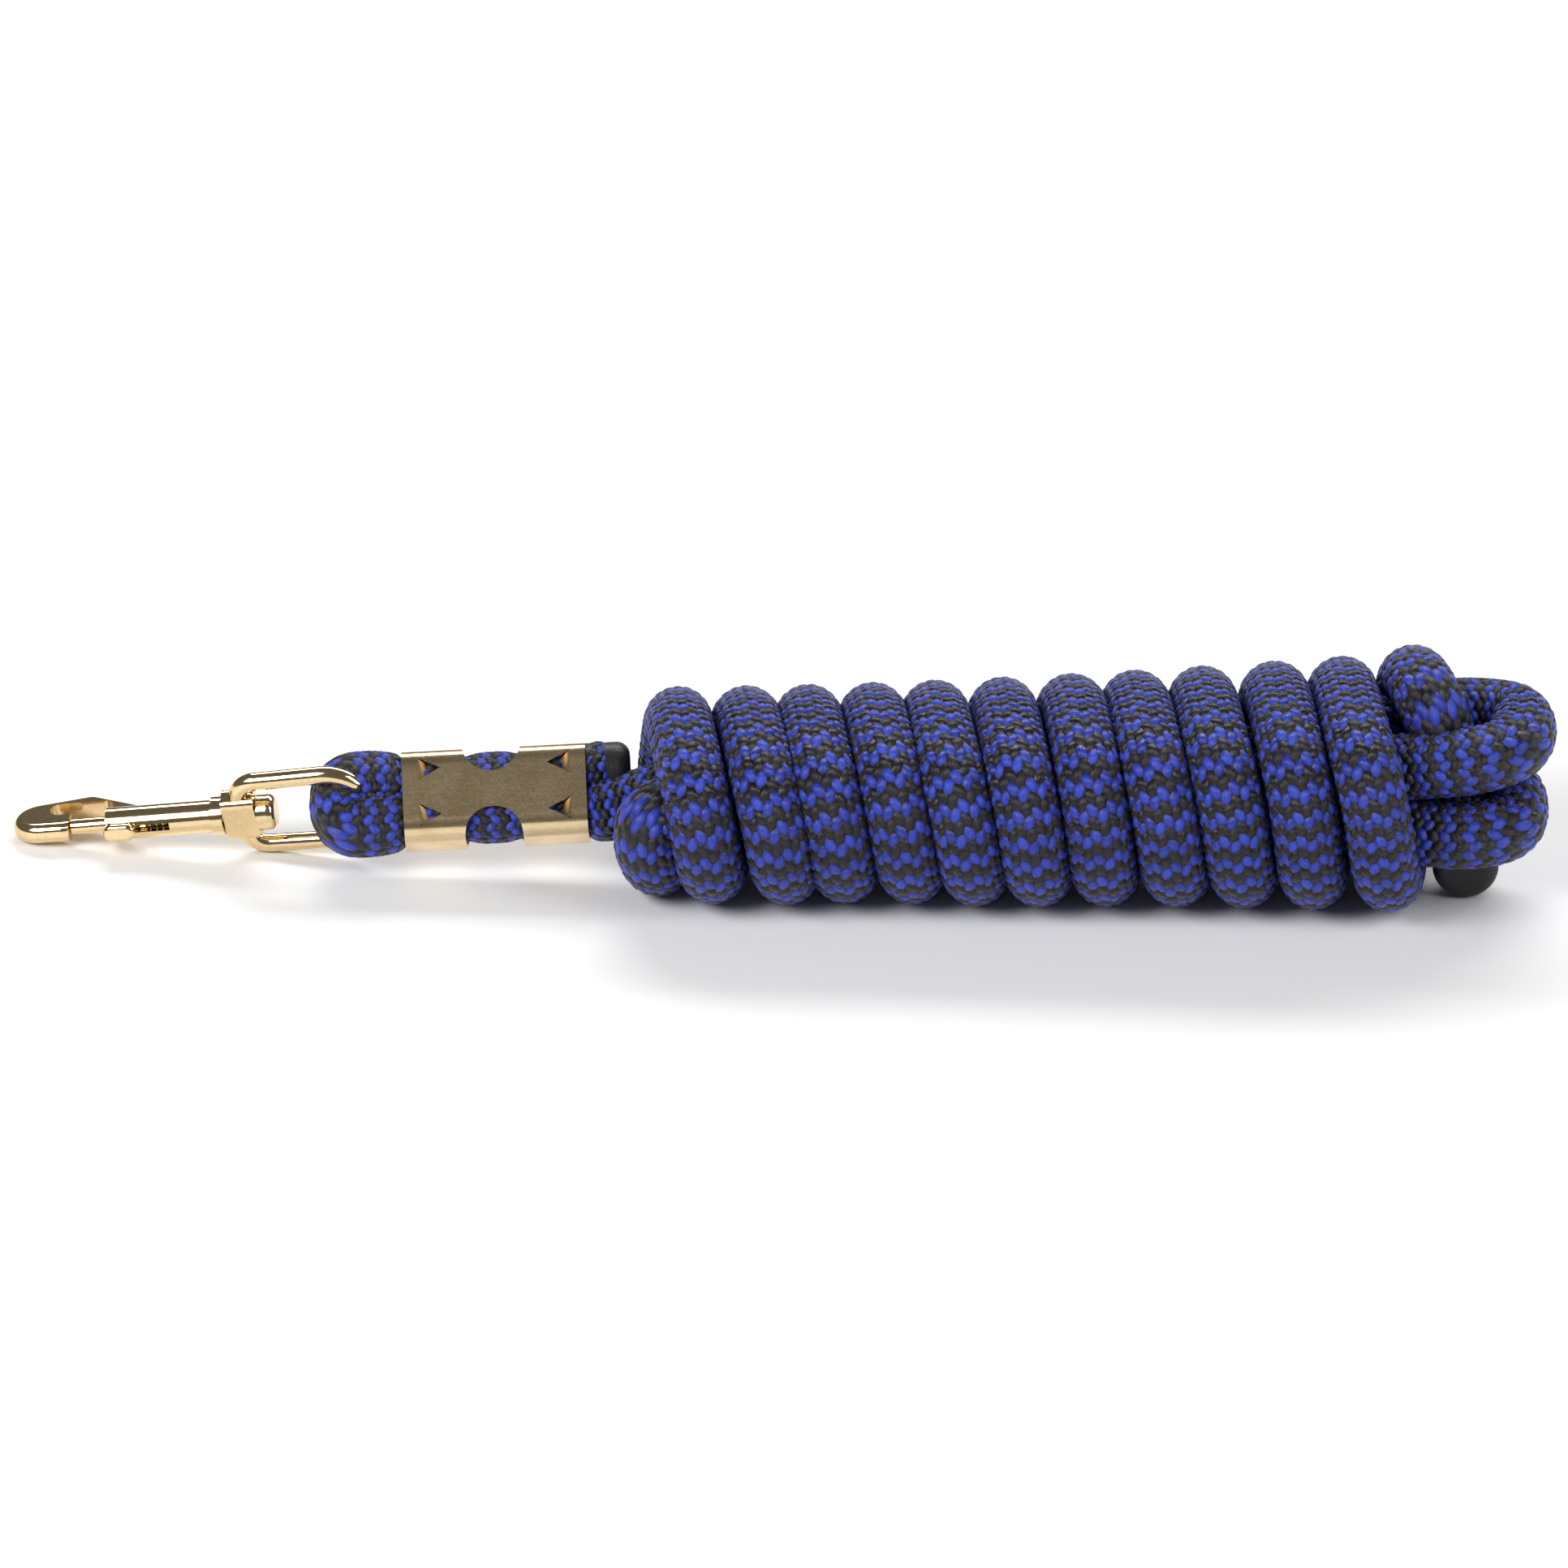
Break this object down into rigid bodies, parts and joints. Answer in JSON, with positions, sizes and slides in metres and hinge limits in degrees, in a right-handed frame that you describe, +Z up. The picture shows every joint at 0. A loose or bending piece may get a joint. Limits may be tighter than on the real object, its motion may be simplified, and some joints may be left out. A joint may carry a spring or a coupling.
{
  "type": "lead rope with bolt snap",
  "caption": "Thick braided rope wound in a hank, its eye held by a punched clamp round the swivel eye of a sprung bolt snap.",
  "frame": {"origin": "centre of the flat underside of the hank's sixth wrap, on the surface it rests on", "axes": "+X along the part from the snap to the hank's folded end, +Z up from the resting surface, snap hook lying flat at -X"},
  "size_m": [0.4199, 0.0716, 0.0653],
  "materials": {
    "snap_brass": "polished cast brass plate",
    "clamp_brass": "satin brass-plated sheet with sharp bent edges",
    "spring_steel": "bright spring wire",
    "braid": "shiny two-colour braided filament",
    "sealed_end": "dipped and melted end"
  },
  "bodies": {
    "rope": {"rope_clamp": "clamp_brass", "rope_eye": "braid", "tail_end_seal": "sealed_end", "rope_lead": "braid", "rope_hank": "braid", "rope_end_cap": "sealed_end"},
    "bow": {"swivel_eye": "snap_brass"},
    "snap": {"hook_body": "snap_brass", "swivel_rivet": "snap_brass", "bolt_spring": "spring_steel"},
    "plunger": {"bolt": "snap_brass", "thumb_stud": "snap_brass"}
  },
  "joints": [
    {"name": "eye_tilt", "type": "hinge", "parent": "rope", "child": "bow", "pos_m": [-0.18164, 0.0114, 0.01826], "axis": [-0.1949, -0.28, 0.94], "range_deg": [-25, 25]},
    {"name": "swivel", "type": "hinge", "parent": "bow", "child": "snap", "pos_m": [-0.18164, 0.0114, 0.01826], "axis": [0.9764, -0.1459, 0.159], "continuous": true},
    {"name": "bolt_slide", "type": "slide", "parent": "snap", "child": "plunger", "axis": [0.9764, -0.1459, 0.159], "range_m": [0, 0.0096], "stiffness_N_per_m": 300, "springref_m": -0.004, "deforming": ["bolt_spring"]}
  ]
}
